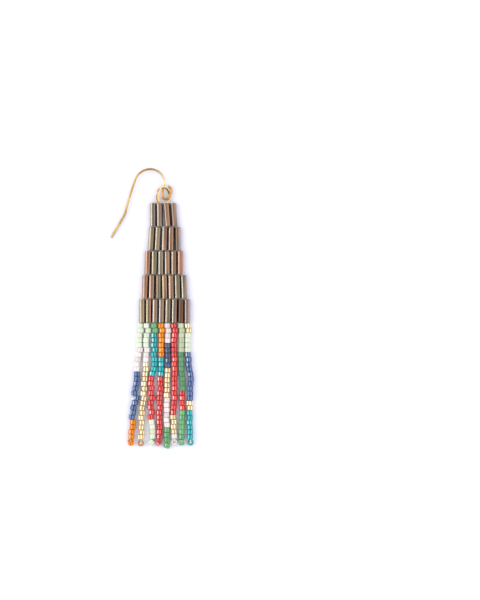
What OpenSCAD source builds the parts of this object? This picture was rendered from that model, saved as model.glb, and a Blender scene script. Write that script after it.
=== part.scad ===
// Beaded fringe earring, lying flat: a wire hook, a stepped panel of bugle beads stitched in
// rows, and a fringe of eight strands of small beads.
// Millimetres. X runs across the panel, Y from the fringe towards the hook, Z up from the
// surface that the earring lies on. The origin is under the middle of the whole outline.

/* [Bugle panel] */
// Outer diameter of a bugle bead
bugle_d = 1.58; // [1.4:0.02:1.6]
// Length of a bugle bead
bugle_len = 5.94; // [5.7:0.02:5.94]
// Diameter of the hole through a bugle bead
bugle_bore_d = 0.9; // [0.84:0.02:0.96]
// Width of the bevel on each edge of a bugle bead's ends
bugle_bevel = 0.06; // [0.02:0.01:0.08]
// Distance from one row of bugles to the next
row_pitch = 6.2; // [6.2:0.01:6.3]
// Height of the top row's upper ends above the origin
panel_top_y = 27.05; // [27:0.01:27.1]

/* [Thread] */
// Thickness of the thread that bridges the bugles between two rows
bridge_d = 0.1; // [0.06:0.01:0.1]
// Thickness of the doubled thread inside a bugle
riser_d = 0.26; // [0.26:0.02:0.4]

/* [Ear wire] */
// Diameter of the wire
wire_d = 0.6; // [0.5:0.02:0.62]
// Length of the straight tail, from its tip to the first bend
tail_len = 6.7; // [6.5:0.1:6.9]
// Width of the bevel round the tip
tip_bevel = 0.1; // [0.02:0.02:0.2]
// Angle at which the lying hook rises from its tip to its arch
wire_tilt = 3.3; // [3:0.1:3.4]
// Height of the wire's centreline at the middle of the eye
eye_z = 1.0; // [1:0.01:1.04]

/* [Hanger loop] */
// Thickness of the thread loop that joins the eye to the panel
loop_d = 0.4; // [0.3:0.02:0.42]

/* [Fringe] */
// Diameter of a strand, across the flats of its tube
strand_d = 1.5; // [1.3:0.02:1.52]
// Height of the strands' upper ends, below the origin
strand_top_y = -3.85; // [-3.9:0.01:-3.85]

/* [Hidden] */
ROWS = 5;
STRANDS = 8;
TUBE_SIDES = 8;
ROUND = 32;
// Distance along Y between two rings of a strand's tube
RING_STEP = 4.4;
// How far the hanger loop's ends reach into the bugles' bores
LOOP_DEPTH = 0.8;
// Air left between the ends of two threads, and between a thread and a strand
END_GAP = 0.05;

// Bugle bead of each row, from left to right: its middle's X
bugle_x = [
    [0.29, 1.99, 3.96, 5.7],
    [-0.15, 1.51, 3.26, 4.97, 6.68],
    [-1.09, 0.62, 2.31, 3.98, 5.67, 7.34],
    [-1.73, -0.07, 1.63, 3.29, 4.95, 6.61, 8.29],
    [-2.51, -0.84, 0.82, 2.48, 4.14, 5.82, 7.455, 9.09]
];

// Lean of each bugle bead in degrees, its foot to the right where positive
bugle_lean = [
    [0.3, 0.3, 4.2, 4],
    [-3.2, -2.8, -1.6, -1, 0.8],
    [-1.5, -1.2, -0.5, 0.1, 0.2, 0.2],
    [-1.9, -1.5, 0, 0.9, 1.1, 1.1, 2.2],
    [0, -0.4, -0.7, -1.1, -1.4, -1, -0.6, -0.2]
];

// Shades of the metallic brown glaze, picked by number in the chart below
GLAZE = ["#a9a596", "#b9a79c", "#a9796a", "#7d645e", "#80745a", "#8a5a3e", "#b08a5c", "#6d6a52"];
bugle_glaze = [
    [0, 1, 2, 3],
    [4, 4, 7, 5, 4],
    [2, 4, 3, 5, 3, 2],
    [2, 5, 5, 6, 5, 7, 1],
    [4, 5, 3, 3, 7, 0, 5, 2]
];

// Route of the wire in its own plane: run along the centreline, turn in degrees (left positive)
WIRE_STEPS = [
    [tail_len, 0],
    [0.4, 16],
    [9.2, -5],
    [3.7, -51],
    [3.2, -46],
    [3.3, -57],
    [1.8, -26],
    [2.2, 26],
    [2.2, 142],
    [1.7, 18],
    [1.4, 72],
    [0.4, 0]
];
TIP = [-10.55, 18.1];
TIP_HEADING = 59.5;
EYE_Y = 29.7;
// Every second step is thinner by SHRINK in diameter and reaches PLUG into its neighbours,
// which makes one solid of them all
SHRINK = 0.01;
PLUG = 0.05;

// Route of the hanger loop: out of the second bugle, over the eye's left side, down through
// the eye, under its right side and into the third bugle
LOOP_ROUTE = [
    [1.96, 26.3, 0.79],
    [1.85, 27.1, 0.79],
    [1.5, 27.9, 0.9],
    [1.4, 29.1, 1.2],
    [1.5, 30.1, 1.5],
    [2.0, 30.8, 1.7],
    [2.9, 31.05, 1.7],
    [3.6, 31.0, 1.5],
    [4.1, 30.6, 0.95],
    [4.45, 29.9, 0.45],
    [4.7, 29.1, 0.35],
    [4.4, 28.1, 0.45],
    [3.88, 27.2, 0.72],
    [3.81, 26.3, 0.79]
];

// Each strand's X at its rings, a ring every RING_STEP, and then at its foot
STRAND_X = [
    [-3.1, -3.2, -3.6, -3.9, -4.4, -4.8, -5.1, -5.4],
    [-1.4, -1.6, -1.6, -2.0, -2.1, -2.6, -2.7, -2.8],
    [0.6, 0.6, 0.7, 0.1, 0.0, -0.2, 0.0, -0.2],
    [2.4, 2.5, 2.4, 2.2, 1.9, 1.9, 2.0, 1.7],
    [4.0, 4.1, 4.0, 4.0, 3.9, 3.7, 3.9, 3.8],
    [5.6, 5.7, 5.7, 5.8, 5.7, 5.5, 5.5, 5.6],
    [7.4, 7.5, 7.5, 7.7, 7.7, 7.7, 7.5, 7.5],
    [9.1, 9.1, 9.3, 9.8, 9.8, 9.7, 9.7, 9.8]
];
STRAND_FOOT_Y = [-35.1, -35.7, -35.2, -35.4, -36.1, -35.2, -35.3, -35.3];
STRAND_COLOR = ["#4b5f9b", "#d7aa5a", "#00a5af", "#e13c3c", "#f5e8eb", "#d23a38", "#4b8c50", "#46599b"];

function bugle_name(row, col) = str("bugle_", row + 1, "_", col + 1);
function strand_name(i) = str("strand_", i + 1);

// Middle of a bugle bead along Y, and the middle of the slit above a row
function row_mid_y(row) = panel_top_y - row * row_pitch - bugle_len / 2;
function slit_y(row) = row_mid_y(row) + row_pitch / 2;
function unit(v) = v / norm(v);

// The end of one wire step that starts at p with a heading, as [x, y, heading]
function step_end(p, run, turn) =
    let (chord = turn == 0 ? run : 2 * turn_radius(run, turn) * sin(abs(turn) / 2),
         way = p[2] + turn / 2)
    [p[0] + chord * cos(way), p[1] + chord * sin(way), p[2] + turn];
function turn_radius(run, turn) = run * 180 / (PI * abs(turn));
function step_start(i) =
    i == 0 ? [TIP[0], TIP[1], TIP_HEADING]
           : step_end(step_start(i - 1), WIRE_STEPS[i - 1][0], WIRE_STEPS[i - 1][1]);

// Route of one strand, straight down its rings to its foot
function strand_route(i) = [
    for (k = [0 : len(STRAND_X[i]) - 1])
        [STRAND_X[i][k],
         k < len(STRAND_X[i]) - 1 ? strand_top_y - k * RING_STEP : STRAND_FOOT_Y[i],
         strand_d / 2]
];

// A closed tube of flat sides swept along a route. Its flats are d apart and one lies underneath.
module tube(route, d) {
    last = len(route) - 1;
    r = d / 2 / cos(180 / TUBE_SIDES);
    points = [
        for (i = [0 : last])
            let (along = unit(route[min(i + 1, last)] - route[max(i - 1, 0)]),
                 side = unit(cross(along, [0, 0, 1])),
                 top = cross(side, along))
            for (k = [0 : TUBE_SIDES - 1])
                let (a = (k + 0.5) * 360 / TUBE_SIDES)
                route[i] + r * (cos(a) * side + sin(a) * top)
    ];
    walls = [
        for (i = [0 : last - 1], k = [0 : TUBE_SIDES - 1])
            let (a = i * TUBE_SIDES + k,
                 b = i * TUBE_SIDES + (k + 1) % TUBE_SIDES)
            [a, b, b + TUBE_SIDES, a + TUBE_SIDES]
    ];
    start_cap = [for (k = [TUBE_SIDES - 1 : -1 : 0]) k];
    end_cap = [for (k = [0 : TUBE_SIDES - 1]) last * TUBE_SIDES + k];
    polyhedron(points, concat(walls, [start_cap], [end_cap]), convexity = 4);
}

// A glass tube with bevelled ends and a round bore, its axis along Y
module bugle(row, col) {
    bore = bugle_bore_d / 2;
    skin = bugle_d / 2;
    bevel = bugle_bevel;
    profile = [
        [bore, bevel], [bore + bevel, 0], [skin - bevel, 0], [skin, bevel],
        [skin, bugle_len - bevel], [skin - bevel, bugle_len],
        [bore + bevel, bugle_len], [bore, bugle_len - bevel]
    ];
    color(GLAZE[bugle_glaze[row][col]])
    at_bugle(row, col)
    translate([0, 0, -bugle_len / 2])
    rotate_extrude($fn = ROUND)
        polygon(profile);
}

// Places what is drawn about the origin along Z on a bugle's axis, upwards becoming +Y
module at_bugle(row, col) {
    translate([bugle_x[row][col], row_mid_y(row), bugle_d / 2])
    rotate([-90, 0, bugle_lean[row][col]])
        children();
}

// Thread of the panel: a bridge in each slit between two rows, and a riser in each bugle that
// hangs it from the bridge above it. The top row's risers stop short of the hanger loop, and
// the bottom row's come out above the strands.
module panel_thread() {
    color("#efe6d2") {
        for (row = [1 : ROWS - 1])
            bridge(row);
        for (row = [0 : ROWS - 1], col = [0 : len(bugle_x[row]) - 1])
            riser(row, col);
    }
}

module bridge(row) {
    left = bugle_x[row][0];
    right = bugle_x[row][len(bugle_x[row]) - 1];
    translate([left, slit_y(row), bugle_d / 2])
    rotate([0, 90, 0])
        cylinder(d = bridge_d, h = right - left, $fn = ROUND);
}

module riser(row, col) {
    above = row == 0 ? bugle_len / 2 - LOOP_DEPTH - END_GAP : row_pitch / 2;
    below = row == ROWS - 1 ? row_mid_y(row) - strand_top_y - END_GAP : row_pitch / 2;
    at_bugle(row, col)
    translate([0, 0, -below])
        cylinder(d = riser_d, h = above + below, $fn = ROUND);
}

// The hook: a straight tail, a long leg, an arch and an eye, all of one wire
module ear_wire() {
    color("#e1b45f")
    translate([0, EYE_Y, eye_z])
    rotate([wire_tilt, 0, 0])
    translate([0, -EYE_Y, 0])
    for (i = [0 : len(WIRE_STEPS) - 1])
        let (from = step_start(i))
        translate([from[0], from[1], 0])
        rotate([0, 0, from[2]])
            wire_step(i, WIRE_STEPS[i][0], WIRE_STEPS[i][1]);
}

// One step of the wire from the origin along +X
module wire_step(i, run, turn) {
    thin = i % 2 == 1;
    d = thin ? wire_d - SHRINK : wire_d;
    plug = thin ? PLUG : 0;
    if (i == 0)
        tail(run);
    else if (turn == 0)
        translate([-plug, 0, 0])
        rotate([0, 90, 0])
            cylinder(d = d, h = run + plug, $fn = ROUND);
    else
        mirror([0, turn < 0 ? 1 : 0, 0])
            left_arc(turn_radius(run, turn), abs(turn), plug, d);
}

module tail(run) {
    r = wire_d / 2;
    rotate([0, 90, 0])
    rotate_extrude($fn = ROUND)
        polygon([[0, 0], [r - tip_bevel, 0], [r, tip_bevel], [r, run], [0, run]]);
}

// An arc that turns left from the origin, drawn out by a plug's length at both ends
module left_arc(radius, turn, plug, d) {
    extra = plug * 180 / (PI * radius);
    translate([0, radius, 0])
    rotate([0, 0, -90 - extra])
    rotate_extrude(angle = turn + 2 * extra, $fn = ROUND)
    translate([radius, 0])
        circle(d = d, $fn = ROUND);
}

module hanger_loop() {
    color("#e6cf93")
        tube(LOOP_ROUTE, loop_d);
}

module strand(i) {
    color(STRAND_COLOR[i])
        tube(strand_route(i), strand_d);
}

ear_wire();
hanger_loop();
panel_thread();
for (row = [0 : ROWS - 1], col = [0 : len(bugle_x[row]) - 1])
    bugle(row, col);
for (i = [0 : STRANDS - 1])
    strand(i);
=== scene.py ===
"""Looks of the beaded fringe earring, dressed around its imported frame.

Metres, in the frame's own axes: X across the panel, Y from the fringe to the hook, Z up.
"""

import math
import random

import bmesh
import bpy
from bpy.props import FloatProperty, FloatVectorProperty, IntProperty, PointerProperty
from bpy.types import Operator, Panel, PropertyGroup
from mathutils import Matrix, Vector


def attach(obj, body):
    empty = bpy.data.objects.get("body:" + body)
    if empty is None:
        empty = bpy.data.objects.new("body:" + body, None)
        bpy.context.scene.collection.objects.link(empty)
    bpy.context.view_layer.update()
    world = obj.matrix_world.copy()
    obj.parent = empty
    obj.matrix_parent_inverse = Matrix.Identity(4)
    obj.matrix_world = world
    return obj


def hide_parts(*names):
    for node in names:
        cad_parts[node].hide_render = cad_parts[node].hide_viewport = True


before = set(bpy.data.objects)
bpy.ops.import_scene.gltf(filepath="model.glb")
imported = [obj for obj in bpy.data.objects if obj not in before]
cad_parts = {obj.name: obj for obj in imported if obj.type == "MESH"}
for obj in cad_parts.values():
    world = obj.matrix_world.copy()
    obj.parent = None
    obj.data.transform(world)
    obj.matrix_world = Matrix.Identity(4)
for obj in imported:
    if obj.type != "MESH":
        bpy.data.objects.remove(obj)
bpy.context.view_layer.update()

bl_info = {
    "name": "Beaded fringe earring",
    "version": (1, 0, 0),
    "blender": (4, 5, 0),
    "location": "View3D > Sidebar > Earring",
    "description": "Dresses the packed earring with beads, threads, glazes and a studio",
    "category": "Object",
}

MM = 0.001

# Bugle beads, row by row from left to right: the X of their middles, in millimetres, and
# how far they lean, in degrees
BUGLE_X = [
    [0.29, 1.99, 3.96, 5.7],
    [-0.15, 1.51, 3.26, 4.97, 6.68],
    [-1.09, 0.62, 2.31, 3.98, 5.67, 7.34],
    [-1.73, -0.07, 1.63, 3.29, 4.95, 6.61, 8.29],
    [-2.51, -0.84, 0.82, 2.48, 4.14, 5.82, 7.455, 9.09],
]
BUGLE_LEAN = [
    [0.3, 0.3, 4.2, 4],
    [-3.2, -2.8, -1.6, -1, 0.8],
    [-1.5, -1.2, -0.5, 0.1, 0.2, 0.2],
    [-1.9, -1.5, 0, 0.9, 1.1, 1.1, 2.2],
    [0, -0.4, -0.7, -1.1, -1.4, -1, -0.6, -0.2],
]
# The bugles' length, the height of their axes, the rows' step, and the panel's upper edge
BUGLE_LENGTH = 5.94
BUGLE_AXIS_Z = 0.79
ROW_PITCH = 6.2
PANEL_TOP_Y = 27.05

# The stitches, in millimetres. How far inside the upper end of its bugle a riser starts, row
# by row, how far inside the lower end it stops, and how far beside the bore's middle it runs
RISER_TOP_GAPS = [0.95, 0.12, 0.12, 0.12, 0.12]
RISER_FOOT_GAP = 0.05
RISER_SHIFT = 0.09
# A bridge's points: two off the left bugle's lower end, one off halfway, two off the right's
BRIDGE_SHIFTS = [
    (0.2, 0.25, 0.0), (0.28, -0.03, 0.02), (0.0, -0.1, 0.02),
    (-0.28, -0.03, 0.02), (-0.2, 0.25, 0.0),
]
# Where a bridge passes, from the end and from the axis of a bugle under it
BRIDGE_BEYOND = 0.15
BRIDGE_OVER = 0.02
# A catch's points: off its bore, off halfway, round the bridge, and back the same way
CATCH_SHIFTS = [
    (0.0, -0.3, 0.08), (0.0, 0.07, 0.12), (0.0, 0.02, 0.15),
    (0.0, -0.01, 0.12), (0.0, 0.055, 0.0), (0.0, -0.01, -0.12),
    (0.0, 0.02, -0.15), (0.0, 0.07, -0.12), (0.0, -0.3, -0.08),
]

# Glaze of each bugle, picked from the panel's settings
BUGLE_GLAZE = [
    ["mint_bronze", "rose_bronze", "copper_rose", "plain_bronze"],
    ["olive", "olive", "taupe", "copper_rose", "plain_bronze"],
    ["copper_rose", "olive", "mint_bronze", "taupe", "taupe", "copper_rose"],
    ["copper_rose", "taupe", "plain_bronze", "honey", "taupe", "olive", "mint_bronze"],
    ["olive", "honey", "rose_bronze", "mint_bronze", "olive", "mint_bronze",
     "chestnut", "mauve"],
]

# Route of the hanger loop's middle, in millimetres, then how far its two plies stand
# from it at each point, how far they have wound round it in degrees, and how pale the
# dark ply is (0.5 undimmed): the lower values are painted shade inside the hook's eye
LOOP_ROUTE = [
    [1.98, 26.35, 0.79, 0.175, 0, 0.5], [1.93, 27.1, 0.82, 0.175, 0, 0.5],
    [1.62, 27.6, 0.88, 0.19, 0, 0.5], [1.45, 28.1, 0.95, 0.21, 0, 0.5],
    [1.4, 28.8, 1.08, 0.2, 5, 0.5], [1.52, 29.4, 1.2, 0.175, 70, 0.5],
    [1.62, 29.9, 1.3, 0.175, 45, 0.5], [1.85, 30.4, 1.42, 0.19, 10, 0.5],
    [2.25, 30.85, 1.53, 0.175, 90, 0.5], [2.9, 31.05, 1.65, 0.175, 165, 0.35],
    [3.6, 31.0, 1.48, 0.18, 175, 0.0], [4.08, 30.6, 0.95, 0.185, 175, 0.0],
    [4.45, 29.9, 0.42, 0.2, 180, 0.0], [4.7, 29.1, 0.35, 0.2, 180, 0.5],
    [4.42, 28.1, 0.45, 0.175, 130, 0.5], [3.95, 27.2, 0.72, 0.175, 90, 0.5],
    [3.84, 26.35, 0.79, 0.175, 90, 0.5],
]

# X of every bead's middle, strand by strand, from the panel down, in millimetres
STRAND_X = [
    [-3.1, -2.85, -3.25, -3.3, -3.3, -3.05, -3.45, -3.65, -3.95, -3.9, -3.9, -3.9,
     -4.05, -4.25, -4.55, -4.0, -4.4, -4.8, -4.8, -5.2, -4.9, -5.0, -5.3, -5.3],
    [-1.45, -1.0, -1.4, -1.55, -1.55, -1.3, -1.55, -1.55, -1.6, -1.52, -1.8, -1.87,
     -2.1, -1.95, -2.25, -2.1, -2.35, -2.65, -2.55, -2.8, -2.65, -2.8, -2.6, -2.9],
    [0.5, 0.8, 0.45, 0.55, 0.4, 0.7, 0.4, 0.7, 0.6, 0.45, 0.05, -0.2,
     -0.3, -0.05, -0.3, 0.15, -0.35, -0.4, -0.05, -0.35, -0.1, 0.1, 0.2, 0.15],
    [2.33, 2.62, 2.33, 2.47, 2.4, 2.44, 2.42, 2.3, 2.4, 2.3, 2.3, 2.05,
     2.05, 2.25, 1.95, 1.95, 1.95, 2.05, 1.85, 1.9, 1.9, 2.0, 1.9, 1.9],
    [3.93, 4.22, 4.06, 4.06, 4.0, 4.04, 4.05, 4.1, 4.05, 4.0, 4.0, 3.9,
     3.85, 3.85, 3.75, 3.85, 3.75, 3.8, 3.74, 3.73, 3.85, 3.85, 3.75, 3.75],
    [5.55, 5.95, 5.8, 5.65, 5.63, 5.62, 5.66, 5.9, 5.7, 5.9, 5.85, 5.7,
     5.75, 5.85, 5.6, 5.9, 5.6, 5.6, 5.5, 5.32, 5.65, 5.55, 5.6, 5.75],
    [7.45, 7.7, 7.6, 7.6, 7.55, 7.55, 7.45, 7.55, 7.55, 7.55, 7.65, 7.85,
     7.85, 7.9, 7.7, 7.8, 7.65, 7.85, 7.85, 7.7, 7.7, 7.7, 7.65, 7.6],
    [9.15, 9.45, 9.25, 9.2, 9.2, 9.15, 9.25, 9.5, 9.4, 9.6, 9.9, 10.05,
     9.95, 9.85, 9.85, 9.8, 9.6, 9.75, 9.65, 9.75, 9.65, 9.75, 9.8, 9.75],
]
# Y of the first bead of every strand, and of each strand's last straight bead
FIRST_BEAD_Y = -4.46
LAST_BEAD_Y = [-32.99, -33.12, -32.91, -33.02, -33.81, -32.91, -33.02, -33.09]

# Runs of one colour down each strand, the turned end bead last
STRAND_RUNS = [
    [("mint", 5), ("blush", 5), ("blue", 10), ("orange", 4), ("orange", 1)],
    [("mint", 5), ("blush", 3), ("gold", 16), ("amber", 1)],
    [("green", 2), ("teal", 9), ("red", 9), ("mint", 4), ("mint", 1)],
    [("orange", 7), ("teal", 4), ("red", 13), ("red", 1)],
    [("blush", 4), ("navy", 5), ("gold", 6), ("blush", 6), ("green", 3), ("green", 1)],
    [("red", 19), ("gold", 4), ("blush", 1), ("blush", 1)],
    [("sage", 6), ("forest", 8), ("red", 4), ("green", 6), ("green", 1)],
    [("gold", 2), ("mint", 4), ("blue", 10), ("gold", 2), ("teal", 6), ("teal", 1)],
]
# A slot name for each strand; the fringe step loops over them but puts no piece in them
STRAND_SLOTS = [
    "blue_glass", "gold_glass", "teal_glass", "red_glass",
    "blush_glass", "red_glass", "green_glass", "blue_glass",
]

# Turned bead at the foot of each strand: its middle's X and Y, and which way its hole runs
END_BEADS = [
    (-5.44, -34.5, (-0.1, 0.85, 0.52)),
    (-2.86, -34.74, (0.05, 0.15, 1.0)),
    (-0.15, -34.46, (0.7, 0.7, 0.0)),
    (1.73, -34.56, (-0.7, 0.7, 0.0)),
    (3.84, -35.26, (-0.7, 0.25, 0.65)),
    (5.72, -34.38, (0.0, 0.05, 1.0)),
    (7.58, -34.46, (1.0, 0.15, 0.1)),
    (9.90, -34.54, (0.1, 0.12, 1.0)),
]
# Strands, counted from 0, whose thread shows where it passes over the end bead's rim,
# and the points that it passes, from the middle of the bead's top, in metres
THREAD_OVER_RIM = (1, 5, 7)
OVER_RIM = [(0.0001, 0.00062, 0.00011), (0.0, 0.00018, 0.00002)]
# How far it stands off its bugle, the last straight bead and the end bead's mouth
BUGLE_CLEAR = 0.02 * MM
BEAD_CLEAR = 0.03 * MM
MOUTH_CLEAR = 0.02 * MM
# The thread bundled in each end bead's hole: how far it reaches each way, as a share of
# the bead's length, how clear it stands of the hole's wall, and how pale it is (0.5
# undimmed)
BUNDLE_REACH = 0.4
BUNDLE_CLEAR = 0.07 * MM
BUNDLE_TONES = [0.5, 0.5, 0.5, 0.5, 0.5, 0.2, 0.5, 0.5]
# Middle of the knot beside a bead of the first strand, in millimetres, and its proportions
KNOT = (-4.86, -23.2, 0.98)
KNOT_SHAPE = (1.0, 0.8, 0.8)

# The wire's three painted reflections, in order, each on its own part of the hook: the X and
# the Y between which each sets in, from none to full, in millimetres, and how much of it is
# laid over the gold
WIRE_PAINTED_REFLECTIONS = {
    "crown_gold": ((1.2, -0.8), (33.9, 35.0)),
    "pale_gold": ((0.8, 2.4), (30.8, 31.8)),
    "eye_gold": ((0.0, 1.5), (31.4, 30.8)),
}
WIRE_REFLECTION_SHARE = 0.8

# Painted light that each glaze takes on its left flank: a pale painted highlight, but painted
# shade on two of them, whose left neighbour blocks the light
FLANK_PAINTED_LIGHT = {
    "mint_bronze": "#f4f9e2",
    "rose_bronze": "#e8f2ee",
    "copper_rose": "#e1c9aa",
    "taupe": "#e3e1cd",
    "olive": "#f0f1ce",
    "honey": "#e5e9bd",
    "plain_bronze": "#6a4b2f",
    "chestnut": "#2b1509",
    "mauve": "#cab89d",
}
# Painted reflection of the paper on the right flank of a row's last bugle, then painted shade
# on the right flank of the other bugles, which face a neighbour, and on every bugle's hidden
# sides
PAINTED_PAPER_REFLECTION = "#cbc8d2"
PAINTED_SHADE = "#3e2320"
# How the glaze's body colour shifts in its rosy and its green streaks, and in its dark ones
ROSY = (1.2, 0.94, 0.9)
GREEN = (0.84, 1.04, 0.96)
GLAZE_DARK = 0.48

# By a bugle's place in its row, and from how far it faces sideways (-1 is left): where the
# left flank's painted light sets in, and how strong it is between two facings
LEFT_FLANK = {
    "first": ((-0.05, -0.65), (-0.5, -0.85, 0.255, 0.17)),
    "inner": ((-0.47, -0.66), (-0.7, -0.92, 0.85, 0.08)),
    "last": ((-0.47, -0.66), (-0.7, -0.92, 0.85, 0.08)),
}
# Facings between which the painted shade of hidden sides sets in on a bugle whose outer flank
# shows
SHOWN_FLANK = {"first": (-0.3, 0.1), "last": (0.3, -0.1)}

# How each bead colour is made: its finish, then the colours of its dark lines, of its painted
# bars of light and of the brightest bar, a painted highlight
BEAD_FINISH_AND_PAINTED_LIGHT = {
    "mint": ("opaque", "#c5ccaf", "#d9e2c7", "#e0e6d6"),
    "sage": ("opaque", "#a1a987", "#c1caa4", "#afac8b"),
    "blush": ("opaque", "#cfbdb6", "#e8e0d7", "#e5e0da"),
    "blue": ("lined", "#13275a", "#6c85a9", "#b8c2c4"),
    "navy": ("lined", "#3f4758", "#56668d", "#b7bfb2"),
    "orange": ("lined", "#ba5500", "#f0950e", "#f0bd77"),
    "red": ("lined", "#9e0000", "#e5655e", "#f1ccc1"),
    "gold": ("lined", "#986900", "#ffffe1", "#f8f9f8"),
    "teal": ("lined", "#005961", "#2ecbc8", "#c7e8df"),
    "green": ("opaque", "#578455", "#74af78", "#bdd6bd"),
    "forest": ("opaque", "#537557", "#5c9a6b", "#89a080"),
    "amber": ("lined", "#8a5526", "#e3b880", "#fbe9c8"),
}
# How strong the parts of each finish are, the glint being the painted highlight, and its
# roughness where it is clear and cloudy
BEAD_SKIN = {
    "lined": dict(
        lines=0.75, glint=0.95, clouds=0.4, rims=0.9, roughness=(0.16, 0.28), coat=0.15
    ),
    "opaque": dict(
        lines=0.35, glint=0.5, clouds=0.2, rims=0.12, roughness=(0.34, 0.46), coat=0.05
    ),
}
# How far a bead rolls about its hole, in radians, and sways on its thread, in degrees, with
# the seeds of both
BEAD_ROLL = 0.26
BEAD_SWAY = 1.5
ROLL_SEED = 11
SWAY_SEED = 51
# The tone that leaves a thread undimmed, and the share of its colour in its grooves
UNDIMMED = 0.5
CREAM_GROOVES = 0.75

# The soft lights: the setting that each draws its power from and its share of it, then its
# middle and its two sides, in metres
LIGHTS = {
    "key": ("key_power", 1.0, (-0.75, 0.15, 0.62), (1.1, 1.1)),
    "fill": ("fill_power", 1.0, (0.75, 0.0, 0.62), (1.1, 1.1)),
    "left_strip": ("strip_power", 1.0, (-0.9, 0.0, 0.27), (0.12, 0.9)),
    "right_strip": ("strip_power", 0.5, (0.9, 0.0, 0.27), (0.12, 0.9)),
}
# How far the floor lies under the earring, and how near and far the camera sees, in metres
FLOOR_DROP = 0.01 * MM
CAMERA_CLIP = (0.05, 10.0)


def linear(code):
    """A colour written as #rrggbb, as the linear numbers that nodes take."""
    parts = [int(code[i : i + 2], 16) / 255 for i in (1, 3, 5)]
    return tuple(
        c / 12.92 if c <= 0.04045 else ((c + 0.055) / 1.055) ** 2.4 for c in parts
    )


def setting(name, description, default, kind=FloatProperty, **limits):
    return kind(name=name, description=description, default=default, **limits)


def color_setting(name, description, code):
    limits = {"subtype": "COLOR", "size": 3, "min": 0.0, "max": 1.0}
    return setting(name, description, linear(code), FloatVectorProperty, **limits)


def length_setting(name, description, default):
    limits = {"min": 0.0, "precision": 5, "subtype": "DISTANCE", "unit": "LENGTH"}
    return setting(name, description, default, **limits)


def power_setting(name, description, default):
    return setting(name, description, default, min=0.0, unit="POWER")


def share_setting(name, description, default):
    return setting(name, description, default, min=0.0, max=1.0, subtype="FACTOR")


class StageSettings(PropertyGroup):
    floor_size: length_setting("Floor size", "Length of the floor's sides", 4.0)
    floor_color: color_setting("Floor", "Colour of the pale floor", "#efeff4")
    view_x: setting("View X", "Point under the camera, across", 22.65 * MM, unit="LENGTH")
    view_y: setting("View Y", "Point under the camera, along", 2.14 * MM, unit="LENGTH")
    view_height: length_setting("View height", "Height of the camera over the floor", 0.65)
    view_span: length_setting("View span", "Length of floor that fills the tall side", 0.1546)
    key_power: power_setting("Key light", "Power of the broad soft light, left", 4.0)
    fill_power: power_setting("Fill light", "Power of the broad soft light, right", 2.4)
    strip_power: power_setting(
        "Strip lights", "Power of the narrow light, left; the right one has half", 1.4
    )
    room_color: color_setting("Room", "Colour of the light from all round", "#f3f3ff")
    room_strength: setting(
        "Room strength", "Strength of the light from all round", 1.17, min=0.0
    )
    room_dimming: share_setting("Room dimming", "Share of that light left overhead", 0.8)


class WireSettings(PropertyGroup):
    gold: color_setting("Gold", "Colour of the plated wire", "#cab06e")
    deep_gold: color_setting("Deep gold", "Colour of its worn, darker patches", "#ac8c50")
    # Painted reflections, laid over the gold on the hook's crown, its fall to the eye and its
    # eye
    crown_gold: color_setting("Crown gold", "Colour over the hook's crown", "#bb8c3f")
    pale_gold: color_setting("Pale gold", "Colour of the hook's fall to its eye", "#cfc297")
    eye_gold: color_setting("Eye gold", "Colour of the eye", "#c08c46")
    roughness: share_setting("Roughness", "How far the wire's shine is spread", 0.2)


class HangerSettings(PropertyGroup):
    ply: length_setting("Ply", "Thickness of one of the loop's two plies", 0.34 * MM)
    light: color_setting("Light ply", "Colour of the lighter ply", "#fbde90")
    dark: color_setting("Dark ply", "Colour of the darker ply", "#cc8a2e")


class PanelSettings(PropertyGroup):
    # The flanks named below are painted light on the bugles' left flanks: the pale ones
    # painted highlights, plain bronze's dark one painted shade
    mint_bronze: color_setting("Mint bronze", "Brown glaze with a mint flank", "#847261")
    rose_bronze: color_setting("Rose bronze", "Brown glaze with a pale pink flank", "#907460")
    copper_rose: color_setting("Copper rose", "Warm brown glaze, peach flank", "#9c7259")
    taupe: color_setting("Taupe", "Brown glaze with a cream flank", "#987b62")
    olive: color_setting("Olive", "Green brown glaze with a cream flank", "#897a61")
    honey: color_setting("Honey", "Golden brown glaze with a yellow flank", "#8f6e56")
    plain_bronze: color_setting("Plain bronze", "Brown glaze with a dark flank", "#8c7763")
    chestnut: color_setting("Chestnut", "Dark red brown glaze", "#765334")
    mauve: color_setting("Mauve", "Purple grey glaze", "#7f726e")
    roughness: share_setting("Roughness", "How far the glaze's shine is spread", 0.33)
    thread: length_setting("Thread", "Thickness of the panel's thread", 0.1 * MM)
    thread_color: color_setting("Thread", "Colour of the cream thread", "#efe6d2")


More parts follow.
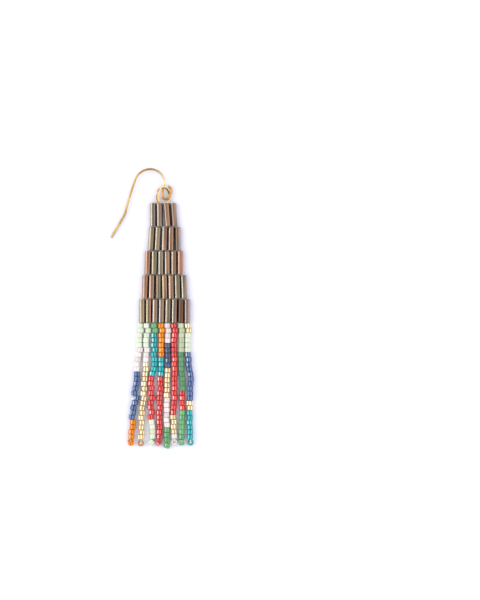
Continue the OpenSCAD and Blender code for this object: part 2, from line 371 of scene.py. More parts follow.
class FringeSettings(PropertyGroup):
    bead_width: length_setting("Bead width", "Diameter of a seed bead", 1.56 * MM)
    bead_length: length_setting("Bead length", "Length of a seed bead", 1.2 * MM)
    bead_hole: length_setting("Bead hole", "Diameter of a seed bead's hole", 0.72 * MM)
    bead_rim: length_setting("Bead rim", "Size of a seed bead's rounded rims", 0.08 * MM)
    bead_sides: setting(
        "Bead sides", "Number of flats round a seed bead", 12, IntProperty, min=8
    )
    thread: length_setting("Thread", "Thickness of the fringe's thread", 0.22 * MM)
    knot: length_setting("Knot", "Width of the knot in the first strand", 0.95 * MM)
    mint: color_setting("Mint", "Pale green beads", "#d0d9be")
    sage: color_setting("Sage", "Grey green beads", "#b7bf9a")
    blush: color_setting("Blush", "Pale pink beads", "#dbd3cb")
    blue: color_setting("Blue", "Denim blue beads", "#49638b")
    navy: color_setting("Navy", "Dark blue beads", "#424e6d")
    orange: color_setting("Orange", "Orange beads", "#dd7b00")
    red: color_setting("Red", "Coral red beads", "#d23832")
    gold: color_setting("Gold", "Gold lined beads", "#e6cd8b")
    teal: color_setting("Teal", "Blue green beads", "#2ea39f")
    green: color_setting("Green", "Leaf green beads", "#609e63")
    forest: color_setting("Forest", "Darker green beads", "#568b5d")
    amber: color_setting("Amber", "Brown gold bead", "#c48f57")


class EarringSettings(PropertyGroup):
    stage: PointerProperty(type=StageSettings)
    wire: PointerProperty(type=WireSettings)
    hanger: PointerProperty(type=HangerSettings)
    panel: PointerProperty(type=PanelSettings)
    fringe: PointerProperty(type=FringeSettings)


# Nodes, and the groups that several materials share


def put(tree, kind, inputs=None, **attributes):
    """Adds a node, sets its attributes, and links or sets its inputs."""
    made = tree.nodes.new(kind)
    for name, value in attributes.items():
        setattr(made, name, value)
    for name, value in (inputs or {}).items():
        if isinstance(value, bpy.types.NodeSocket):
            tree.links.new(value, made.inputs[name])
        else:
            made.inputs[name].default_value = value
    return made


def math_node(tree, operation, *values):
    """The result of a Math node over sockets and numbers."""
    inputs = dict(enumerate(values))
    return put(tree, "ShaderNodeMath", inputs, operation=operation).outputs[0]


def times(tree, first, second):
    """The product of two sockets, or of a socket and a number."""
    return math_node(tree, "MULTIPLY", first, second)


def split(tree, vector):
    """A vector's three parts."""
    return put(tree, "ShaderNodeSeparateXYZ", {0: vector}).outputs


def blend_colors(tree, share, first, second):
    """The colour between two, each a socket or three numbers."""
    first, second = (
        color if isinstance(color, bpy.types.NodeSocket) else (*color, 1.0)
        for color in (first, second)
    )
    inputs = {0: share, 6: first, 7: second}
    return put(tree, "ShaderNodeMix", inputs, data_type="RGBA").outputs[2]


def span(tree, value, low, high, to_low=0.0, to_high=1.0):
    """A value stretched smoothly from one range to another."""
    inputs = {"Value": value, "From Min": low, "From Max": high}
    inputs |= {"To Min": to_low, "To Max": to_high}
    smooth = put(tree, "ShaderNodeMapRange", inputs, interpolation_type="SMOOTHSTEP")
    return smooth.outputs[0]


def noise(tree, where, scale, detail, roughness=0.5):
    """Soft cloudy noise, as a value round a half."""
    inputs = {"Vector": where, "Scale": scale, "Detail": detail, "Roughness": roughness}
    return put(tree, "ShaderNodeTexNoise", inputs).outputs[0]


def bump(tree, height, strength, distance):
    """The normal of a surface raised by a height."""
    inputs = {"Height": height, "Strength": strength, "Distance": distance}
    return put(tree, "ShaderNodeBump", inputs).outputs[0]


def brightened(tree, color, value):
    """A colour made lighter or darker, by so many times."""
    return put(tree, "ShaderNodeHueSaturation", {"Color": color, "Value": value}).outputs[0]


def wrap_and_tone(tree):
    """A piece's wrap UV, and the tone that its points carry."""
    wrap = put(tree, "ShaderNodeUVMap", uv_map="wrap").outputs[0]
    return wrap, put(tree, "ShaderNodeAttribute", attribute_name="tone").outputs["Fac"]


def build_group(name, draw, inputs):
    """A shader group: its sockets, and what draw puts inside.

    An input is a number where its default is one, and a vector where it has none. The
    outputs are the numbers that draw gives back by name.
    """
    group = bpy.data.node_groups.new(name, "ShaderNodeTree")
    for label, default in inputs.items():
        kind = "NodeSocketVector" if default is None else "NodeSocketFloat"
        socket = group.interface.new_socket(name=label, in_out="INPUT", socket_type=kind)
        if default is not None:
            socket.default_value = default
    results = draw(group, group.nodes.new("NodeGroupInput").outputs)
    for label in results:
        group.interface.new_socket(
            name=label, in_out="OUTPUT", socket_type="NodeSocketFloat"
        )
    put(group, "NodeGroupOutput", results)
    return group


def grouped(tree, name, draw, inputs, values):
    """What a group puts out with a material's own values; it is built the first time."""
    group = bpy.data.node_groups.get(name) or build_group(name, draw, inputs)
    return put(tree, "ShaderNodeGroup", values, node_tree=group).outputs


def draw_streaks(group, given):
    """Long flowing streaks and fine specks, as in drawn metal and in fired glaze."""
    inputs = {0: given["Position"], 1: given["Stretch"]}
    long_way = put(group, "ShaderNodeVectorMath", inputs, operation="MULTIPLY").outputs[0]
    fine = times(group, given["Across"], 4.0)
    return {
        "Streak": noise(group, long_way, given["Across"], detail=3.0, roughness=0.55),
        "Speck": noise(group, given["Position"], fine, detail=2.0),
    }


def streaks(tree, where, across, along):
    """Streaks so many to a metre across a piece, and that share of them along it."""
    inputs = {"Position": None, "Across": 1000.0, "Stretch": None}
    values = {"Position": where, "Across": across, "Stretch": (1.0, along, 1.0)}
    return grouped(tree, "drawn_streaks", draw_streaks, inputs, values)


def draw_twist(group, given):
    """The slanting grooves of twisted thread, on a tube's own wrap."""
    around, along, _ = split(group, given["Wrap"])
    turned = times(group, around, given["Grooves"])
    winding = math_node(group, "ADD", turned, times(group, along, given["Slant"]))
    wave = math_node(group, "SINE", times(group, winding, math.tau))
    fibre = noise(group, given["Wrap"], scale=60.0, detail=3.0)
    height = math_node(group, "ADD", times(group, wave, 0.4), times(group, fibre, 0.5))
    return {"Height": height, "Tone": span(group, wave, -1.0, 0.6)}


def twist(tree, wrap, slant):
    """A thread's grooves, with so many turns of each to a metre."""
    inputs = {"Wrap": None, "Grooves": 2.0, "Slant": 2500.0}
    values = {"Wrap": wrap, "Slant": slant}
    return grouped(tree, "thread_twist", draw_twist, inputs, values)


def draw_bead_light(group, given):
    """The painted bars of light inside a glass bead, the brightest of them a painted
    highlight, its rims and clouds.
    """
    around, along, _ = split(group, given["Wrap"])
    turn = times(group, math_node(group, "SUBTRACT", around, given["Turned"]), math.tau)
    shift = span(group, given["Tone"], 0.0, 1.0, -1.6, 1.6)
    barred = math_node(group, "ADD", times(group, turn, given["Bars"]), shift)
    fine = times(group, math_node(group, "COSINE", times(group, barred, 3.0)), 0.3)
    bars = math_node(group, "ADD", math_node(group, "COSINE", barred), fine)
    from_middle = math_node(group, "ABSOLUTE", math_node(group, "SUBTRACT", along, 0.5))
    past_rim = math_node(group, "SUBTRACT", from_middle, 0.49)
    from_rim = math_node(group, "ABSOLUTE", past_rim)
    # Painted highlight: the one bar that faces the left lights, strong in some beads only
    facing = span(group, math_node(group, "COSINE", turn), 0.955, 0.99)
    glint = times(group, facing, span(group, from_middle, 0.42, 0.26))
    strength = math_node(group, "FRACT", times(group, given["Tone"], 7.3))
    return {
        "Bar": span(group, bars, -0.7, 0.9),
        "Glint": times(group, glint, span(group, strength, 0.4, 0.75, 0.1, 1.0)),
        "Rim": span(group, from_rim, 0.09, 0.02),
        "Cloud": noise(group, given["Position"], scale=1600.0, detail=2.0),
    }


def bead_light(tree, where, wrap, tone):
    """The painted light inside a bead, which differs a little with the bead's tone."""
    # Turned sets the painted bars and highlight towards the left lights
    inputs = {"Position": None, "Wrap": None, "Bars": 6.0, "Turned": 0.167, "Tone": 0.5}
    values = {"Position": where, "Wrap": wrap, "Tone": tone}
    return grouped(tree, "bead_light", draw_bead_light, inputs, values)


# Materials


def dimmed(color, share):
    """A share of a colour given as numbers."""
    return tuple(share * part for part in color)


def new_material(name):
    """An empty material: its tree, and its object coordinates."""
    material = bpy.data.materials.new(name)
    material.use_nodes = True
    material.node_tree.nodes.clear()
    where = material.node_tree.nodes.new("ShaderNodeTexCoord").outputs["Object"]
    return material, material.node_tree, where


def finish_material(material, inputs):
    """Gives a material its one Principled shader and output."""
    tree = material.node_tree
    shader = put(tree, "ShaderNodeBsdfPrincipled", inputs)
    put(tree, "ShaderNodeOutputMaterial", {"Surface": shader.outputs[0]})
    return material


def wire_material(wire):
    """Gold plating, drawn along the wire and worn a little darker in patches, with painted
    reflections over its crown, its fall to the eye and its eye.
    """
    material, tree, where = new_material("gold_plate")
    drawn = streaks(tree, where, across=700.0, along=0.25)
    patches = noise(tree, where, scale=260.0, detail=3.0)
    worn = span(tree, patches, 0.42, 0.66)
    color = blend_colors(tree, worn, wire.gold[:], wire.deep_gold[:])
    x, y, _ = split(tree, where)
    # Painted reflections, each over its own part of the hook
    for name, (xs, ys) in WIRE_PAINTED_REFLECTIONS.items():
        across = span(tree, x, *(MM * edge for edge in xs))
        along = span(tree, y, *(MM * edge for edge in ys))
        share = times(tree, times(tree, across, along), WIRE_REFLECTION_SHARE)
        color = blend_colors(tree, share, color, getattr(wire, name)[:])
    dull = wire.roughness
    return finish_material(
        material,
        {
            "Base Color": color,
            "Metallic": 1.0,
            "Roughness": span(tree, drawn["Streak"], 0.3, 0.7, dull - 0.06, dull + 0.1),
            "Normal": bump(tree, drawn["Speck"], 0.12, 0.02 * MM),
        },
    )


def thread_material(name, color, grooves, slant):
    """Twisted thread with a soft sheen, dimmed where its tone is below a half.

    Its grooves are darker than its ridges, and have only a share of its colour.
    """
    material, tree, _ = new_material(name)
    wrap, tone = wrap_and_tone(tree)
    ply = twist(tree, wrap, slant)
    twisted = blend_colors(tree, ply["Tone"], dimmed(color, grooves), color)
    light = span(tree, tone, 0.0, UNDIMMED, 0.35, 1.0)
    return finish_material(
        material,
        {
            "Base Color": brightened(tree, twisted, light),
            "Roughness": span(tree, ply["Tone"], 0.0, 1.0, 0.62, 0.46),
            "Sheen Weight": 0.3,
            "Sheen Roughness": 0.4,
            "Normal": bump(tree, ply["Height"], 0.7, 0.03 * MM),
        },
    )


def glaze_shares(tree, place):
    """How far a bugle's left flank, right flank, cut ends and hidden sides are tinted; all
    but the cut ends carry painted light or shade.
    """
    facing = put(tree, "ShaderNodeTexCoord").outputs["Normal"]
    across, along, upward = split(tree, facing)
    where, strength = LEFT_FLANK[place]
    # Painted light on the left flank: a highlight, or shade on the two glazes with a dark
    # tint
    left = times(tree, span(tree, across, *where), span(tree, across, *strength))
    cut = span(tree, math_node(tree, "ABSOLUTE", along), 0.5, 0.9, 0.0, 0.7)
    # Painted shade on the steep sides, which face sideways rather than up or down
    hidden = span(tree, math_node(tree, "ABSOLUTE", upward), 0.5, 0.2, 0.0, 0.9)
    if place in SHOWN_FLANK:
        hidden = times(tree, hidden, span(tree, across, *SHOWN_FLANK[place]))
    # Right flank: a painted reflection of the paper on a row's last bugle, painted shade from
    # the neighbour on the others
    if place == "last":
        outer = span(tree, across, 0.65, 0.95, 0.0, 0.85)
        right = times(tree, outer, span(tree, upward, 0.05, 0.3))
    else:
        right = span(tree, across, 0.52, 0.8, 0.0, 0.97)
    return left, right, cut, hidden


def glaze_material(name, body, roughness, place):
    """A metallic brown glaze: streaked along the bead, with painted light on its left flank.

    Its right flank has painted shade, or a painted reflection of the paper on the last bugle
    of a row. On the first bugle the left flank's painted light is wide and soft.
    """
    material, tree, where = new_material(f"glaze_{name}_{place}")
    flow = streaks(tree, where, across=1500.0, along=0.03)
    hues = streaks(tree, where, across=1900.0, along=0.012)
    rosy, green = (
        tuple(part * change for part, change in zip(body, hue)) for hue in (ROSY, GREEN)
    )
    dark = dimmed(body, GLAZE_DARK)
    # Painted reflection of the paper on a last bugle's right flank, painted shade on the
    # others'
    right = PAINTED_PAPER_REFLECTION if place == "last" else PAINTED_SHADE
    tints = (linear(FLANK_PAINTED_LIGHT[name]), linear(right), dark, linear(PAINTED_SHADE))
    fired = blend_colors(tree, span(tree, hues["Streak"], 0.4, 0.6), rosy, green)
    color = blend_colors(tree, span(tree, flow["Streak"], 0.38, 0.6), dark, fired)
    for share, tint in zip(glaze_shares(tree, place), tints):
        color = blend_colors(tree, share, color, tint)
    dull = (roughness - 0.04, roughness + 0.08)
    return finish_material(
        material,
        {
            "Base Color": color,
            "Metallic": 0.85,
            "Roughness": span(tree, flow["Speck"], 0.3, 0.7, *dull),
            "Coat Weight": 0.25,
            "Coat Roughness": 0.12,
            "Normal": bump(tree, flow["Streak"], 0.12, 0.03 * MM),
        },
    )


def bead_material(name, body):
    """Glass beads: lined ones carry strong painted bars of light and a painted highlight,
    opaque ones a satin skin with fainter ones.
    """
    finish, *codes = BEAD_FINISH_AND_PAINTED_LIGHT[name]
    skin = BEAD_SKIN[finish]
    deep, bright, glint = (linear(code) for code in codes)
    material, tree, where = new_material("glass_" + name)
    wrap, tone = wrap_and_tone(tree)
    light = bead_light(tree, where, wrap, tone)
    bar, cloud = light["Bar"], light["Cloud"]
    # Painted bars of light over the body, dark lines between them, a painted highlight, then
    # clouds and rims
    color = blend_colors(tree, span(tree, bar, 0.4, 1.0), body, bright)
    for share, tint in (
        (span(tree, bar, 0.45, 0.0, 0.0, skin["lines"]), deep),
        (times(tree, light["Glint"], skin["glint"]), glint),
        (span(tree, cloud, 0.4, 0.8, 0.0, skin["clouds"]), body),
        (times(tree, light["Rim"], skin["rims"]), deep),
    ):
        color = blend_colors(tree, share, color, tint)
    return finish_material(
        material,
        {
            "Base Color": brightened(tree, color, span(tree, tone, 0.0, 1.0, 0.9, 1.08)),
            "Roughness": span(tree, cloud, 0.3, 0.7, *skin["roughness"]),
            "Specular IOR Level": 0.2,
            "Coat Weight": skin["coat"],
            "Coat Roughness": 0.05,
            "Normal": bump(tree, cloud, 0.12, 0.03 * MM),
        },
    )


def floor_material(color):
    """Matt paper with a faint tooth."""
    material, tree, where = new_material("pale_paper")
    tooth = noise(tree, where, scale=900.0, detail=2.0)
    return finish_material(
        material,
        {
            "Base Color": blend_colors(tree, tooth, dimmed(color, 0.985), color),
            "Roughness": 0.95,
            "Specular IOR Level": 0.1,
        },
    )


# Meshes, and what each of their points remembers
LAYERS = ("around", "along", "tone")


def new_bmesh():
    """A bmesh whose points remember how far round and along a piece they lie, and a tone."""
    bm = bmesh.new()
    for name in LAYERS:
        bm.verts.layers.float.new(name)
    return bm


def layers(bm):
    """What a bmesh's points remember: their place around, along, and their tone."""
    return (bm.verts.layers.float[name] for name in LAYERS)


def turned_to(point, direction):
    """The matrix that stands Z along a direction at a point."""
    turn = Vector(direction).to_track_quat("Z", "Y").to_matrix().to_4x4()
    return Matrix.Translation(point) @ turn


def sweep(bm, route, radius, sides=8, slot=0, tones=None):
    """Grows a closed round tube ring by ring along a route, with a tone for each ring."""
    around, along, shade = layers(bm)
    points = [Vector(p) for p in route]
    last = len(points) - 1
    tones = tones or [UNDIMMED] * len(points)
    ways = [
        (points[min(i + 1, last)] - points[max(i - 1, 0)]).normalized()
        for i in range(last + 1)
    ]
    ring = bmesh.ops.create_circle(
        bm, segments=sides, radius=radius, matrix=turned_to(points[0], ways[0])
    )["verts"]
    for step, vert in enumerate(ring):
        vert[around] = step / sides
        vert[shade] = tones[0]
    edges = list(dict.fromkeys(edge for vert in ring for edge in vert.link_edges))
    walls, first_edges, travelled = [], edges, 0.0
    for i in range(1, last + 1):
        grown = bmesh.ops.extrude_edge_only(bm, edges=edges)["geom"]
        ring = [g for g in grown if isinstance(g, bmesh.types.BMVert)]
        members = set(ring)
        edges = [
            g
            for g in grown
            if isinstance(g, bmesh.types.BMEdge) and members.issuperset(g.verts)
        ]
        walls += [g for g in grown if isinstance(g, bmesh.types.BMFace)]
        turn = ways[i - 1].rotation_difference(ways[i]).to_matrix().to_4x4()
        move = Matrix.Translation(points[i]) @ turn @ Matrix.Translation(-points[i - 1])
        bmesh.ops.transform(bm, matrix=move, verts=ring)
        travelled += (points[i] - points[i - 1]).length
        for vert in ring:
            vert[along] = travelled
            vert[shade] = tones[i]
    caps = bmesh.ops.edgeloop_fill(bm, edges=first_edges)["faces"]
    caps += bmesh.ops.edgeloop_fill(bm, edges=edges)["faces"]
    for face in walls + caps:
        face.material_index = slot
    bmesh.ops.recalc_face_normals(bm, faces=walls + caps)


def rounded(route, steps=4):
    """A route with its corners drawn out into a smooth curve through its points."""
    points = [Vector(p) for p in route]
    smooth = []
    for i in range(len(points) - 1):
        before = points[max(i - 1, 0)]
        start, end = points[i], points[i + 1]
        after = points[min(i + 2, len(points) - 1)]
        for step in range(steps):
            t = step / steps
            smooth.append(
                0.5
                * (
                    2 * start
                    + (end - before) * t
                    + (2 * before - 5 * start + 4 * end - after) * t * t
                    + (3 * start - 3 * end + after - before) * t**3
                )
            )
    return smooth + [points[-1]]


def shifted(stops, shifts):
    """A smooth route by way of points that each stand a little off their stop."""
    return rounded([stop + Vector(shift) for stop, shift in zip(stops, shifts)], 3)


def bead_template(fringe):
    """One bead standing along Z, its profile spun round its hole."""
    bm = new_bmesh()
    around, along, _ = layers(bm)
    skin, hole, half = fringe.bead_width / 2, fringe.bead_hole / 2, fringe.bead_length / 2
    rim = fringe.bead_rim
    dish = 0.35 * rim
    profile = [
        (hole, dish - half),
        (skin - rim, -half),
        (skin, rim - half),
        (skin, half - rim),
        (skin - rim, half),
        (hole, half - dish),
    ]
    verts = [bm.verts.new((r, 0.0, z)) for r, z in profile]
    edges = [bm.edges.new((verts[i - 1], verts[i])) for i in range(len(verts))]
    bmesh.ops.spin(
        bm,
        geom=verts + edges,
        cent=(0, 0, 0),
        axis=(0, 0, 1),
        angle=math.tau,
        steps=fringe.bead_sides,
        use_merge=True,
    )
    bmesh.ops.remove_doubles(bm, verts=bm.verts, dist=1e-7)
    bmesh.ops.recalc_face_normals(bm, faces=bm.faces)
    for vert in bm.verts:
        vert[around] = (math.atan2(vert.co.y, vert.co.x) / math.tau) % 1.0
        inward = max(skin - rim - vert.co.xy.length, 0.0)
        end = math.copysign(inward, vert.co.z)
        vert[along] = (vert.co.z + end) / fringe.bead_length + 0.5
    mesh = bpy.data.meshes.new("seed_bead")
    bm.to_mesh(mesh)
    bm.free()
    return mesh


def add_bead(bm, template, place, roll, slot, tone):
    """Puts a copy of the bead, rolled about its hole, into a bmesh."""
    known, faces = len(bm.verts), len(bm.faces)
    bm.from_mesh(template)
    bm.verts.ensure_lookup_table()
    bm.faces.ensure_lookup_table()
    around, _, shade = layers(bm)
    verts = bm.verts[known:]
    for vert in verts:
        vert[shade] = tone
        vert[around] = (vert[around] + roll / math.tau) % 1.0
    for face in bm.faces[faces:]:
        face.material_index = slot
    matrix = place @ Matrix.Rotation(roll, 4, "Z")
    bmesh.ops.transform(bm, matrix=matrix, verts=verts)


def wrap_faces(bm):
    """Writes the wrap UV: a turn across, and metres or bead lengths along."""
    around, along, _ = layers(bm)
    uv = bm.loops.layers.uv.new("wrap")
    for face in bm.faces:
        turns = [loop.vert[around] for loop in face.loops]
        crosses = max(turns) - min(turns) > 0.5
        for loop in face.loops:
            turn = loop.vert[around]
            loop[uv].uv = (turn + 1 if crosses and turn < 0.5 else turn, loop.vert[along])


def order_faces(bm):
    """Sorts the faces, which the operators leave in an order that changes from run to run."""
    in_order = sorted(bm.faces, key=lambda face: face.calc_center_median()[:])
    for rank, face in enumerate(in_order):
        face.index = rank
    bm.faces.sort()


def make_piece(name, bm, materials, sharp_above=50.0):
    """Turns a bmesh into a shown piece that rides on the earring's one body."""
    order_faces(bm)
    wrap_faces(bm)
    for face in bm.faces:
        face.smooth = True
    for edge in bm.edges:
        if len(edge.link_faces) == 2:
            edge.smooth = edge.calc_face_angle() < math.radians(sharp_above)
    mesh = bpy.data.meshes.new(name)
    bm.to_mesh(mesh)
    bm.free()
    for material in materials:
        mesh.materials.append(material)
    piece = bpy.data.objects.new(name, mesh)
    bpy.context.scene.collection.objects.link(piece)
    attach(piece, "root")
    return piece


def dress(node, material):
    """Gives a node of the frame one material of its own."""
    node.data.materials.clear()
    node.data.materials.append(material)


def bugle_end(row, column, side):
    """The middle of a bugle's upper (side 1) or lower (side -1) end, in millimetres."""
    lean = math.radians(BUGLE_LEAN[row][column])
    middle_y = PANEL_TOP_Y - row * ROW_PITCH - BUGLE_LENGTH / 2
    reach = side * BUGLE_LENGTH / 2
    return Vector(
        (
            BUGLE_X[row][column] - reach * math.sin(lean),
            middle_y + reach * math.cos(lean),
            BUGLE_AXIS_Z,
        )
    )


def in_metres(route):
    return [MM * Vector(p) for p in route]


# Operators


class EARRING_OT_stage(Operator):
    """Lays the floor, sets the camera over it and hangs the soft lights"""

    bl_idname = "earring.stage"
    bl_label = "Set the stage"
    bl_options = {"REGISTER", "UNDO"}

    def execute(self, context):
        stage = context.scene.earring.stage
        self.lay_floor(context, stage)
        self.set_camera(context, stage)
        for name, (power, share, place, size) in LIGHTS.items():
            self.hang_light(context, name, share * getattr(stage, power), place, size)
        self.light_room(context, stage)
        context.scene.view_settings.view_transform = "Standard"
        return {"FINISHED"}

    def lay_floor(self, context, stage):
        bm = bmesh.new()
        bmesh.ops.create_grid(
            bm,
            x_segments=1,
            y_segments=1,
            size=stage.floor_size / 2,
            matrix=Matrix.Translation((0, 0, -FLOOR_DROP)),
        )
        mesh = bpy.data.meshes.new("floor")
        bm.to_mesh(mesh)
        bm.free()
        mesh.materials.append(floor_material(stage.floor_color[:]))
        floor = bpy.data.objects.new("floor", mesh)
        context.scene.collection.objects.link(floor)

    def set_camera(self, context, stage):
        lens = bpy.data.cameras.new("overhead_camera")
        lens.lens = lens.sensor_width * stage.view_height / stage.view_span
        lens.clip_start, lens.clip_end = CAMERA_CLIP
        camera = bpy.data.objects.new("overhead_camera", lens)
        camera.location = (stage.view_x, stage.view_y, stage.view_height)
        context.scene.collection.objects.link(camera)
        context.scene.camera = camera

    def hang_light(self, context, name, power, place, size):
        lamp = bpy.data.lights.new(name, "AREA")
        lamp.shape = "RECTANGLE"
        lamp.size, lamp.size_y = size
        lamp.energy = power
        light = bpy.data.objects.new(name, lamp)
        light.location = place
        light.rotation_euler = (-Vector(place)).to_track_quat("-Z", "Y").to_euler()
        light.visible_camera = False
        context.scene.collection.objects.link(light)

    def light_room(self, context, stage):
        """A pale room, dimmer overhead and at the earring's ends than at its sides."""
        room = bpy.data.worlds.new("pale_room")
        room.use_nodes = True
        tree = room.node_tree
        sky = tree.nodes["Background"]
        sky.inputs["Color"].default_value = (*stage.room_color, 1.0)
        sideways, _, _ = split(tree, put(tree, "ShaderNodeTexCoord").outputs["Generated"])
        full = stage.room_strength
        overhead = full * stage.room_dimming
        level = math_node(tree, "ABSOLUTE", sideways)
        strength = span(tree, level, 0.05, 0.5, overhead, full)
        tree.links.new(strength, sky.inputs["Strength"])
        context.scene.world = room


class EARRING_OT_ear_wire(Operator):
    """Plates the ear wire of the frame with gold, with reflections painted over it"""

    bl_idname = "earring.ear_wire"
    bl_label = "Plate the ear wire"
    bl_options = {"REGISTER", "UNDO"}

    def execute(self, context):
        dress(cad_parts["ear_wire"], wire_material(context.scene.earring.wire))
        return {"FINISHED"}


class EARRING_OT_hanger_loop(Operator):
    """Winds the two plies of the thread loop that joins the hook to the panel"""

    bl_idname = "earring.hanger_loop"
    bl_label = "Wind the hanger loop"
    bl_options = {"REGISTER", "UNDO"}

    def execute(self, context):
        hanger = context.scene.earring.hanger
        bm = new_bmesh()
        for ply in (0, 1):
            # The dark ply's tones paint shade on it where it passes inside the hook's eye
            shades = rounded([(p[5] if ply else UNDIMMED, 0, 0) for p in LOOP_ROUTE])
            tones = [shade.x for shade in shades]
            sweep(bm, self.ply_route(ply), hanger.ply / 2, sides=10, slot=ply, tones=tones)
        plies = [
            thread_material("gold_thread", hanger.light[:], grooves=0.72, slant=1500.0),
            thread_material("dark_gold_thread", hanger.dark[:], grooves=0.6, slant=1500.0),
        ]
        loop = make_piece("hanger_loop_plies", bm, plies)
        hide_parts("hanger_loop")
        return {"FINISHED"}

    def ply_route(self, ply):
        """One ply's route, beside the loop's middle and wound round it as it goes."""
        middle = rounded(in_metres(p[:3] for p in LOOP_ROUTE))
        windings = rounded([(p[3] * MM, math.radians(p[4]), 0) for p in LOOP_ROUTE])
        last = len(middle) - 1
        route = []
        for i, point in enumerate(middle):
            way = (middle[min(i + 1, last)] - middle[max(i - 1, 0)]).normalized()
            side = way.cross(Vector((0, 0, 1))).normalized()
            top = side.cross(way)
            reach, angle = windings[i].x, windings[i].y + math.pi * ply
            route.append(point + reach * (math.cos(angle) * side + math.sin(angle) * top))
        return route


class EARRING_OT_bugles(Operator):
    """Glazes the bugle beads of the frame, with light and shade painted on their flanks"""

    bl_idname = "earring.bugles"
    bl_label = "Glaze the bugles"
    bl_options = {"REGISTER", "UNDO"}

    def execute(self, context):
        panel = context.scene.earring.panel
        glazes = {}
        for row, names in enumerate(BUGLE_GLAZE):
            for column, name in enumerate(names):
                # Each glaze has a copy for the first, inner and last bugle of a row, which
                # differ in their painted light and shade
                place = {0: "first", len(names) - 1: "last"}.get(column, "inner")
                if (name, place) not in glazes:
                    glazes[name, place] = glaze_material(
                        name, getattr(panel, name)[:], panel.roughness, place
                    )
                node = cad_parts[f"bugle_{row + 1}_{column + 1}"]
                dress(node, glazes[name, place])
        return {"FINISHED"}


class EARRING_OT_stitches(Operator):
    """Stitches the bugles together: thread down each bore and loops between the rows"""

    bl_idname = "earring.stitches"
    bl_label = "Stitch the panel"
    bl_options = {"REGISTER", "UNDO"}

    def execute(self, context):
        panel = context.scene.earring.panel
        routes = []
        for row, xs in enumerate(BUGLE_X):
            for column in range(len(xs)):
                routes += [self.riser(row, column, side) for side in (-1, 1)]
        for row, xs in enumerate(BUGLE_X[:-1]):
            routes += [self.bridge(row, column) for column in range(len(xs) - 1)]
            routes += [self.catch(row, column) for column in range(len(BUGLE_X[row + 1]))]
        bm = new_bmesh()
        for route in routes:
            sweep(bm, in_metres(route), panel.thread / 2, sides=6)
        cream = thread_material("cream_thread", panel.thread_color[:], CREAM_GROOVES, 3000.0)
        stitches = make_piece("panel_stitches", bm, [cream])
        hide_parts("panel_thread")
        return {"FINISHED"}

    def riser(self, row, column, side):
        """One of the two threads that run down a bugle's bore."""
        upper, lower = bugle_end(row, column, 1), bugle_end(row, column, -1)
        way = (lower - upper).normalized()
        shift = Vector((RISER_SHIFT * side, 0, 0))
        start = upper + RISER_TOP_GAPS[row] * way + shift
        return [start, lower - RISER_FOOT_GAP * way + shift]

    def bridge(self, row, column):
        """The thread that hops from one bugle's lower end to its neighbour's."""
        left, right = bugle_end(row, column, -1), bugle_end(row, column + 1, -1)
        return shifted([left, left, (left + right) / 2, right, right], BRIDGE_SHIFTS)

    def catch(self, row, column):
        """The loop out of a lower bugle that catches the nearest bridge above it."""
        bore = bugle_end(row + 1, column, 1)
        xs = BUGLE_X[row]
        middles = [(xs[i] + xs[i + 1]) / 2 for i in range(len(xs) - 1)]
        caught = min(middles, key=lambda x: abs(x - bore.x))
        top = Vector((caught, bore.y + BRIDGE_BEYOND, BUGLE_AXIS_Z + BRIDGE_OVER))
        half_way = (bore + top) / 2
        stops = [bore, bore, half_way, top, top, top, half_way, bore, bore]
        return shifted(stops, CATCH_SHIFTS)


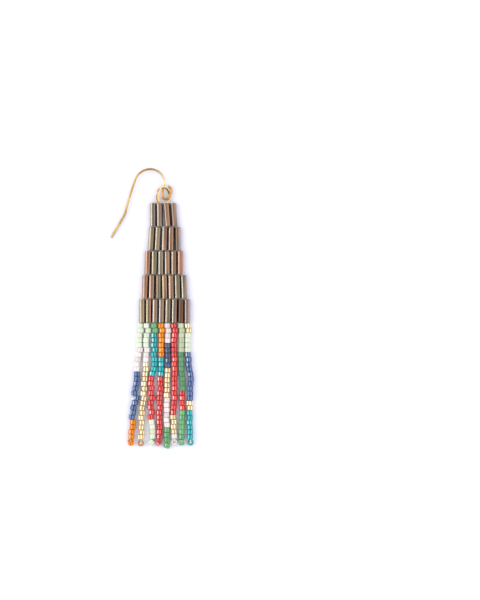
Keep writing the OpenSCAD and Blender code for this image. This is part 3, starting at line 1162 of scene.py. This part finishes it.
class EARRING_OT_fringe(Operator):
    """Strings the eight strands of seed beads"""

    bl_idname = "earring.fringe"
    bl_label = "String the fringe"
    bl_options = {"REGISTER", "UNDO"}

    def execute(self, context):
        settings = context.scene.earring
        fringe = settings.fringe
        template = bead_template(fringe)
        glass = {
            name: bead_material(name, getattr(fringe, name)[:]) for name in BEAD_FINISH_AND_PAINTED_LIGHT
        }
        color = settings.panel.thread_color[:]
        thread = thread_material("fringe_thread", color, CREAM_GROOVES, 2500.0)
        for index, slot in enumerate(STRAND_SLOTS):
            piece = self.strand(index, fringe, template, glass, thread)
            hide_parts(f"strand_{index + 1}")
        bpy.data.meshes.remove(template)
        return {"FINISHED"}

    def strand(self, index, fringe, template, glass, thread):
        """One strand: its straight beads, its turned end bead and its thread."""
        draw = random.Random(ROLL_SEED + index)
        names = [name for name, count in STRAND_RUNS[index] for _ in range(count)]
        kinds = sorted(set(names))
        places = self.bead_places(index, fringe)
        bm = new_bmesh()
        for name, (point, way) in zip(names, places):
            roll, tone = draw.uniform(-BEAD_ROLL, BEAD_ROLL), draw.random()
            add_bead(bm, template, turned_to(point, way), roll, kinds.index(name), tone)
        slot = len(kinds)
        first = bugle_end(len(BUGLE_X) - 1, index, -1) * MM
        route = [first - Vector((0, BUGLE_CLEAR, 0))]
        route += [point for point, _ in places[:-1]]
        route += self.thread_turn(index, fringe, places)
        sweep(bm, route, fringe.thread / 2, sides=6, slot=slot)
        end, way = places[-1]
        reach = BUNDLE_REACH * fringe.bead_length * way
        radius = fringe.bead_hole / 2 - BUNDLE_CLEAR
        tones = 2 * [BUNDLE_TONES[index]]
        sweep(bm, [end - reach, end + reach], radius, sides=8, slot=slot, tones=tones)
        if index == 0:
            self.tie_knot(bm, fringe, slot)
        materials = [glass[name] for name in kinds] + [thread]
        return make_piece(f"bead_strand_{index + 1}", bm, materials, sharp_above=38.0)

    def tie_knot(self, bm, fringe, slot):
        """A small ball of thread where the strand was knotted."""
        flat = Matrix.Diagonal((*KNOT_SHAPE, 1.0))
        verts = bmesh.ops.create_icosphere(
            bm,
            subdivisions=2,
            radius=fringe.knot / 2,
            matrix=Matrix.Translation(MM * Vector(KNOT)) @ flat,
        )["verts"]
        _, _, shade = layers(bm)
        for vert in verts:
            vert[shade] = UNDIMMED
            for face in vert.link_faces:
                face.material_index = slot

    def bead_places(self, index, fringe):
        """Each bead's middle and the way that its hole runs, down the strand."""
        xs = STRAND_X[index]
        last = len(xs) - 1
        pitch = (LAST_BEAD_Y[index] - FIRST_BEAD_Y) / last
        height = fringe.bead_width / 2
        draw = random.Random(SWAY_SEED + index)
        places = []
        for rank, x in enumerate(xs):
            low, high = max(rank - 2, 0), min(rank + 2, last)
            slope = (xs[high] - xs[low]) / ((high - low) * pitch)
            way = Vector((slope, 1.0, 0.0)).normalized()
            turn = math.radians(draw.uniform(-BEAD_SWAY, BEAD_SWAY))
            point = Vector((x * MM, (FIRST_BEAD_Y + rank * pitch) * MM, height))
            places.append((point, Matrix.Rotation(turn, 3, "Z") @ way))
        x, y, way = END_BEADS[index]
        way = Vector(way).normalized()
        rest = fringe.bead_length / 2 * abs(way.z) + height * math.sqrt(1 - way.z**2)
        places.append((Vector((x * MM, y * MM, rest)), way))
        return places

    def thread_turn(self, index, fringe, places):
        """Where the thread leaves the last straight bead for the end bead's hole."""
        above, end, way = places[-2][0], *places[-1]
        half = fringe.bead_length / 2
        leaving = above - Vector((0, half + BEAD_CLEAR, 0))
        if index in THREAD_OVER_RIM:
            stops = [end + Vector((x, y, half + z)) for x, y, z in OVER_RIM]
        else:
            stops = [end + (half + MOUTH_CLEAR) * way]
        return rounded([leaving, *stops, end], 3)


class EARRING_PT_sidebar(Panel):
    """Lists what the earring is dressed with"""

    bl_idname = "EARRING_PT_sidebar"
    bl_label = "Beaded fringe earring"
    bl_space_type = "VIEW_3D"
    bl_region_type = "UI"
    bl_category = "Earring"

    def draw(self, context):
        settings = context.scene.earring
        for operator, group in STEPS:
            box = self.layout.box()
            box.operator(operator.bl_idname)
            if group:
                values = getattr(settings, group)
                for name in values.bl_rna.properties.keys():
                    if name not in ("rna_type", "name"):
                        box.prop(values, name)


# What is made, in order, and the settings that the sidebar lists under each step
STEPS = (
    (EARRING_OT_stage, "stage"),
    (EARRING_OT_ear_wire, "wire"),
    (EARRING_OT_hanger_loop, "hanger"),
    (EARRING_OT_bugles, "panel"),
    (EARRING_OT_stitches, None),
    (EARRING_OT_fringe, "fringe"),
)
CLASSES = (
    StageSettings,
    WireSettings,
    HangerSettings,
    PanelSettings,
    FringeSettings,
    EarringSettings,
    *(operator for operator, _ in STEPS),
    EARRING_PT_sidebar,
)


def register():
    for cls in CLASSES:
        bpy.utils.register_class(cls)
    bpy.types.Scene.earring = PointerProperty(type=EarringSettings)


def unregister():
    del bpy.types.Scene.earring
    for cls in reversed(CLASSES):
        bpy.utils.unregister_class(cls)


def main():
    """Registers the add-on, then makes everything."""
    register()
    bpy.ops.earring.stage()
    bpy.ops.earring.ear_wire()
    bpy.ops.earring.hanger_loop()
    bpy.ops.earring.bugles()
    bpy.ops.earring.stitches()
    bpy.ops.earring.fringe()


if __name__ == "__main__":
    main()
